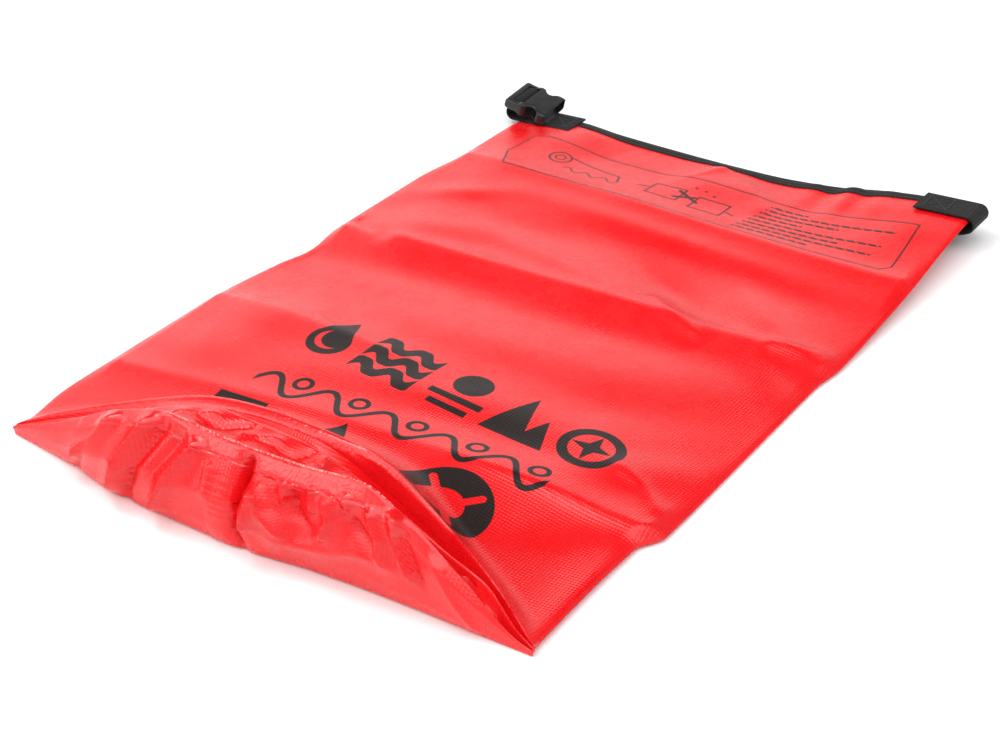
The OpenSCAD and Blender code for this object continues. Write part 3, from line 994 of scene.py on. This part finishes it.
MID = WEB_Z + WEB_T / 2
LEFT_TURN = (-180.6, 9.0)
LEFT_BAR = (-176.0, 16.45)
RIGHT_TURN = (177.2, -1.2)
RIGHT_BAR = (170.0, -5.85)
WRAP_R = 2.6                     # from the buckle's bar to the middle of the webbing round it

for name, node, x0, x1, n in (("left_strap_end", "left_strap_patch", -132, -178, 16),
                              ("right_strap_end", "right_strap_patch", 140, 175.6, 14)):
    patch = webbing(name, [(x, MID) for x in np.linspace(x0, x1, n)])
    stand_for(patch, node, "rim")

left_path = [(-178.2, MID), (-179.4, MID)] + arc(*LEFT_TURN, 4.85, 270, 96)
left_path += [(-179.0, 13.85)] + arc(*LEFT_BAR, WRAP_R, -90, 0, 10)
left_path += [(-173.5, 17.8), (-174.3, 19.2), (-176, 19.9), (-178.5, 20.0)]
left_path += arc(-181.4, 16.7, 3.3, 90, 190, 14)
left_loop = webbing("left_strap", left_path)
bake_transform(left_loop)
stand_for(left_loop, "left_strap_loop")

right_path = [(175.6, MID)] + arc(*RIGHT_TURN, MID - RIGHT_TURN[1], 90, -68, 30)
right_path += [(176.6, -7.4), (173.6, -8.35)] + arc(*RIGHT_BAR, WRAP_R, -80, -350)
right_loop = webbing("right_strap", right_path)
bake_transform(right_loop)
stand_for(right_loop, "right_strap_loop")


# ---------------- binding, thread and stiffener

def layer_height(x, y, front):
    """Height of one layer near the mouth at given points."""
    if front:
        y = y + mouth_step(x, y)
    first = MOUTH_Y - HEM_DEPTH
    table = layer_points(across_bag(np.linspace(first, MOUTH_Y, HEM_DEPTH + 1)), front)
    at = (np.clip(y, first, MOUTH_Y) - first).ravel()
    low = np.clip(at.astype(int), 0, HEM_DEPTH - 1)
    part = at - low
    columns = np.array([np.interp(x.ravel(), r[:, 0], r[:, 2]) for r in table])
    pick = np.arange(at.size)
    height = columns[low, pick] * (1 - part) + columns[low + 1, pick] * part
    return height.reshape(x.shape)


def binding(name, front):
    """Grosgrain folded over the raw edge of one layer."""
    edge = layer_points(across_bag([MOUTH_Y]), front)[0, 2:-2]
    t = 0.5
    a = WALL / 2 + 0.05
    turn = arc(0.15, 0, a + t, 80, -80, 7)
    hollow = arc(0.15, 0, a, -80, 80, 7)
    wide, narrow = [-7.6, -7.5, -6.4, -4.4, -3.9, -3.4, -1.6], -4.4
    rise = [0.1, t, t + 0.12, t + 0.10, t - 0.12, t + 0.10, t + 0.14]
    leg = [(y, a + r) for y, r in zip(wide, rise)]
    if front:
        profile = leg + turn + [(narrow, -a - t), (narrow, -a)] + hollow + [(-3.9, a)]
    else:
        profile = [(narrow, a), (narrow, a + t)] + turn + [(y, -z) for y, z in leg[::-1]]
        profile += [(-3.9, -a)] + hollow
    profile = np.array(profile)
    x = np.repeat(edge[:, :1], len(profile), 1)
    base_y = edge[:, 1:2] + np.minimum(profile[:, 0], 0)
    z = layer_height(x, base_y, front) + (-WALL / 2 if front else WALL / 2) + profile[:, 1]
    rings = capped(np.stack([x, edge[:, 1:2] + profile[:, 0], z], -1))
    around = np.broadcast_to(run_length(profile), rings.shape[:2])
    return grid_mesh(name, rings, np.stack([rings[..., 0], around], -1), binding_mat, closed=True)


edge_binding = join("mouth_edge_binding", [binding("front_binding", True), binding("back_binding", False)])
bend(edge_binding, *RIM_BEND)
stand_for(edge_binding, "mouth_binding")


def stitch_row(centres, direction, up, length=2.6, radius=0.28):
    """Short lengths of thread, each one sunk at both ends."""
    n_ring, n_len = 6, 5
    s = np.linspace(-1, 1, n_len)[:, None, None]
    a = math.tau * np.arange(n_ring)[:, None] / n_ring
    lift = 0.22 * (1 - s * s)
    r = radius * (0.45 + 0.55 * np.sqrt(1 - s ** 4 * 0.98))
    rings, faces = [], []
    for k, (c, d) in enumerate(zip(centres, direction)):
        side = np.cross(up, d)
        rings.append(c + d * s * length / 2 + up * (lift + r * np.sin(a)) + side * r * np.cos(a))
        faces.append(grid_faces(n_len, n_ring, k * n_len * n_ring, closed=True))
    points = np.array(rings)
    return make_mesh("row", points, np.concatenate(faces), points[..., :2], thread_mat)


def mouth_stitches():
    """Thread along the inner edge of the binding, on both faces."""
    made = []
    x = np.arange(-126, 134, 3.6)
    for front, sign in ((True, 1.0), (False, -1.0)):
        edge = layer_points(across_bag([MOUTH_Y]), front)[0]
        y = np.interp(x, edge[:, 0], edge[:, 1]) - 6.1
        centres = np.stack([x, y, layer_height(x, y, front) + sign * 0.72], -1)
        direction = np.gradient(centres, axis=0)
        direction /= np.linalg.norm(direction, axis=1, keepdims=True)
        made.append(stitch_row(centres, direction, np.array([0.0, 0.0, sign])))
    return join("binding_stitches", made)


stitches = mouth_stitches()
bend(stitches, *RIM_BEND)
stand_for(stitches, "binding_thread")


def blade():
    """The stiffener between the two layers of the mouth."""
    y = across_bag(np.linspace(262, 245, 6))
    front, back = layer_points(y, True), layer_points(y, False)
    keep = np.abs(front[0, :, 0]) < 171
    middle = 0.5 * (front + back)[:, keep]
    middle[..., 1] = y[:, keep]
    return thicken(grid_mesh("mouth_stiffener", middle, middle[..., :2], blade_mat), 0.5, 0.0)


stiffener = blade()
bend(stiffener, *RIM_BEND)
stand_for(stiffener, "stiffener_blade")


# ---------------- buckle

def place(obj, bar_at, tilt, half_turn=0.0, skew=0.0):
    """Moves a piece modelled round its bar to the bar's place in the mouth's plane."""
    m = Matrix.Translation(Vector((0, 0, HEM_RISE * MM))) @ Matrix.Rotation(-HEM_TILT, 4, "Y")
    m = m @ Matrix.Translation(Vector((bar_at[0] * MM, STRAP_Y * MM, bar_at[1] * MM)))
    for angle, axis in ((half_turn, "Z"), (tilt, "Y"), (skew, "Z")):
        m = m @ Matrix.Rotation(math.radians(angle), 4, axis)
    obj.data.transform(m)
    return obj


def closed_body(name, rings):
    rings = capped(np.array(rings))
    return grid_mesh(name, rings, rings[..., :2], buckle_mat, closed=True, joined=True)


def loft(name, stations, power=5.0, n=40):
    """A closed moulded body through rounded sections (x, half width, half height, centre y)."""
    a = np.linspace(0, math.tau, n, endpoint=False)
    cy = np.sign(np.cos(a)) * np.abs(np.cos(a)) ** (2 / power)
    cz = np.sign(np.sin(a)) * np.abs(np.sin(a)) ** (2 / power)
    rings = []
    for x, half_w, half_h, *middle in stations:
        rings.append(np.stack([np.full(n, float(x)), sum(middle) + half_w * cy, half_h * cz], -1))
    return closed_body(name, rings)


def cutter(low, high):
    """A box that is cut out of a moulding."""
    points = np.array([[x, y, z] for z in (low[2], high[2]) for y in (low[1], high[1])
                       for x in (low[0], high[0])], float)
    faces = [[0, 2, 3, 1], [4, 5, 7, 6], [0, 1, 5, 4], [2, 6, 7, 3], [0, 4, 6, 2], [1, 3, 7, 5]]
    return make_mesh("cutter", points, faces, points[:, :2], buckle_mat)


def webbing_bar(length, radius=1.8, n=40):
    """The round bar that the webbing turns round."""
    a = np.linspace(0, math.tau, n, endpoint=False)
    rings = [np.stack([radius * np.cos(a), np.full(n, y), radius * np.sin(a)], -1)
             for y in (-length / 2, length / 2)]
    return closed_body("bar", rings)


def mould(obj, cutters, bevel, sharp=38.0):
    """Cuts the hollows out of a body and rounds its edges."""
    for tool in cutters:
        m = obj.modifiers.new("cut", "BOOLEAN")
        m.solver = "EXACT"
        m.object = tool
    apply_modifiers(obj)
    for tool in cutters:
        bpy.data.objects.remove(tool)
    m = obj.modifiers.new("bevel", "BEVEL")
    m.width = bevel * MM
    m.segments = 2
    m.limit_method = "ANGLE"
    m.angle_limit = math.radians(50)
    apply_modifiers(obj)
    obj.data.polygons.foreach_set("use_smooth", np.full(len(obj.data.polygons), True))
    obj.data.set_sharp_from_angle(angle=math.radians(sharp))
    return obj


WAIST = [(-9.2, 16.4), (-8.0, 17.0), (4, 17.2), (7, 16.4), (9.4, 13.6), (12.0, 12.4), (14.7, 13.5),
         (17.6, 16.7), (19.6, 17.3), (23.2, 17.3), (24.0, 16.9)]


def socket():
    """The half on the left strap, pinched where the fingers press (WAIST holds its half width)."""
    xs = np.concatenate([[-9.2, -9.0, -8.5, -7.6], np.linspace(-6.4, 22.4, 40), [23.1, 23.7, 24.0]])
    half_h = 5.2 - 0.5 * ease((xs - 8) / 15) - 1.5 * ease((4.5 - xs) / 4)
    rear = np.sqrt(np.maximum(0, 1 - (np.maximum(0, -7.6 - xs) / 1.7) ** 2))
    half_h = half_h * (0.5 + 0.5 * rear) * (1 - 0.07 * ease((xs - 22.8) / 1.2))
    body = loft("buckle_socket_half", zip(xs, knots(xs, WAIST), half_h), 11, 72)
    cave = cutter((8.0, -14.6, -3.4), (29, 14.6, 3.4))
    window = cutter((7.8, -24, -3.1), (17.2, 24, 3.1))
    slot = cutter((-4.8, -13.2, -9), (4.5, 13.2, 9))
    mould(body, [cave, window, slot], 0.3)
    return join("buckle_socket_half", [body, webbing_bar(27.2)])


def plug():
    """The other half without its arms: frame, shoulder and guide tongue."""
    frame_rows = [(-3.6, 15.2, 2.3), (-3.2, 15.8, 2.9), (-2.4, 16, 3.25), (4, 16, 3.3), (7, 15.4, 3.3),
                  (10, 14.4, 3.2), (11.8, 13.8, 3.0), (12.3, 13.3, 2.6)]
    tongue_rows = [(11.4, 2.6, 1.6), (20, 2.5, 1.5), (28, 2.3, 1.4), (30.4, 1.8, 1.1), (31, 1.2, 0.7)]
    body = loft("buckle_plug_half", frame_rows, 6.5, 48)
    slot = cutter((-8, -12.8, -9), (3.7, 12.8, 9))
    dishes = [cutter((6.4, -9, 2.4), (10.4, 9, 9)), cutter((6.4, -9, -9), (10.4, 9, -2.4))]
    tongue = loft("tongue", tongue_rows, 4, 24)
    mould(body, [slot, *dishes], 0.35)
    return join("buckle_plug_half", [body, webbing_bar(26.4), tongue])


def arm(name, side):
    """One sprung arm with its barbed, curved head."""
    rows = []
    for x in np.linspace(12.6, 35, 30):
        inner = 8.5 - 0.2 * math.sin(math.pi * (x - 12.6) / 22.4)
        head = ease((x - 21.5) / 2.0) * 2.35 - max(0.0, x - 26) ** 2 * 0.035
        outer = max(11.1 + head, inner + 1.6)
        half_h = 2.4 - 0.5 * ease((x - 32) / 3)
        rows.append((x, (outer - inner) / 2, half_h, side * (inner + outer) / 2))
    return loft(name, rows, 5, 28)


stand_for(place(socket(), LEFT_BAR, 17.5, skew=5.0), "buckle_socket", "socket")
for piece, node, body in ((plug(), "buckle_plug", "plug"),
                          (arm("release_arm_1", 1), "release_arm_near", "arm_near"),
                          (arm("release_arm_2", -1), "release_arm_far", "arm_far")):
    stand_for(place(piece, RIGHT_BAR, 14.0, half_turn=180.0), node, body)

for node in ("left_box_stitch", "right_box_stitch"):
    box_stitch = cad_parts[node]
    box_stitch.data.materials.clear()
    box_stitch.data.materials.append(thread_mat)


# ---------------- stage, light and camera

def floor(half=4500.0, tone=0.93):
    g = new_material("floor")
    dapple = g.ramp(g.noise(g.coordinate("Object"), 4.0, 2.0), 0.3, 0.7, 0.985, 1.0)
    darker = 0.97 * tone
    g.set(Base_Color=g.mix(dapple, (darker, darker, darker, 1.0), (tone, tone, tone, 1.0)),
          Roughness=0.7, Specular_IOR_Level=0.2)
    points = [(-half, -half, 0), (half, -half, 0), (half, half, 0), (-half, half, 0)]
    make_mesh("floor", points, [[0, 1, 2, 3]], [p[:2] for p in points], g.owner)


def studio():
    """A bright backdrop low behind the bag, a dim ceiling above it and a wide light overhead."""
    world = bpy.data.worlds.new("studio")
    bpy.context.scene.world = world
    g = Graph(world, "Background")
    direction = g.coordinate("Generated")

    def toward(x, y, z):
        n = g.node("ShaderNodeVectorMath", operation="DOT_PRODUCT")
        g.fill(n, direction, (x, y, z))
        return Value(g, n.outputs["Value"])

    height = toward(0, 0, 1)
    overhead = g.ramp(height, 0.55, 0.72, 0.0, 2.3)
    horizon = g.ramp(height, 0.04, 0.24, 0.3, 1.0)
    backdrop = g.ramp(height, 0.43, 0.61, 1.25, 0.05) * horizon
    left = g.ramp(toward(-0.95, 0.31, 0), -0.1, 0.95, 0.3, 1.25)
    far_side = backdrop * left + g.ramp(height, 0.93, 0.99, 0.0, 2.3)
    low = g.ramp(height, 0.12, 0.27, 0.15, 1.3)
    middle = g.ramp(height, 0.40, 0.52, 0.0, -1.1)
    side_softbox = g.ramp(toward(-0.68, -0.62, 0.39), 0.92, 0.99, 0.0, 2.3)
    near_side = low + middle + overhead + side_softbox
    behind = g.ramp(toward(-0.567, 0.824, 0), -0.15, 0.2)
    light = between(behind, near_side, far_side)
    # the camera itself sees a plain pale room behind the floor
    seen = Value(g, g.node("ShaderNodeLightPath").outputs["Is Camera Ray"])
    g.set(Color=(1.0, 1.0, 1.0, 1.0), Strength=between(seen, light, 0.97))


def key_softbox():
    data = bpy.data.lights.new("key_softbox", "AREA")
    data.shape = "SQUARE"
    data.size = 0.6
    data.energy = 9
    obj = put_in_scene("key_softbox", data)
    obj.location = (-0.7, -0.5, 1.9)
    obj.rotation_euler = (-obj.location).to_track_quat("-Z", "Y").to_euler()


CAMERA_AT = (601.66, -912.487, 632.847)
YAW, PITCH, ROLL = -0.602487, 0.547323, -0.005612
LENS = 73.62828


def photo_camera():
    data = bpy.data.cameras.new("camera")
    data.sensor_width = 36.0
    data.lens = LENS
    data.clip_end = 20.0
    camera = put_in_scene("camera", data)
    m = Matrix.Translation(Vector(CAMERA_AT) * MM)
    for angle, axis in ((-YAW, "Z"), (math.pi / 2 - PITCH, "X"), (ROLL, "Z")):
        m = m @ Matrix.Rotation(angle, 4, axis)
    camera.matrix_world = m
    bpy.context.scene.camera = camera


floor()
studio()
key_softbox()
photo_camera()
bpy.context.scene.view_settings.view_transform = "Standard"
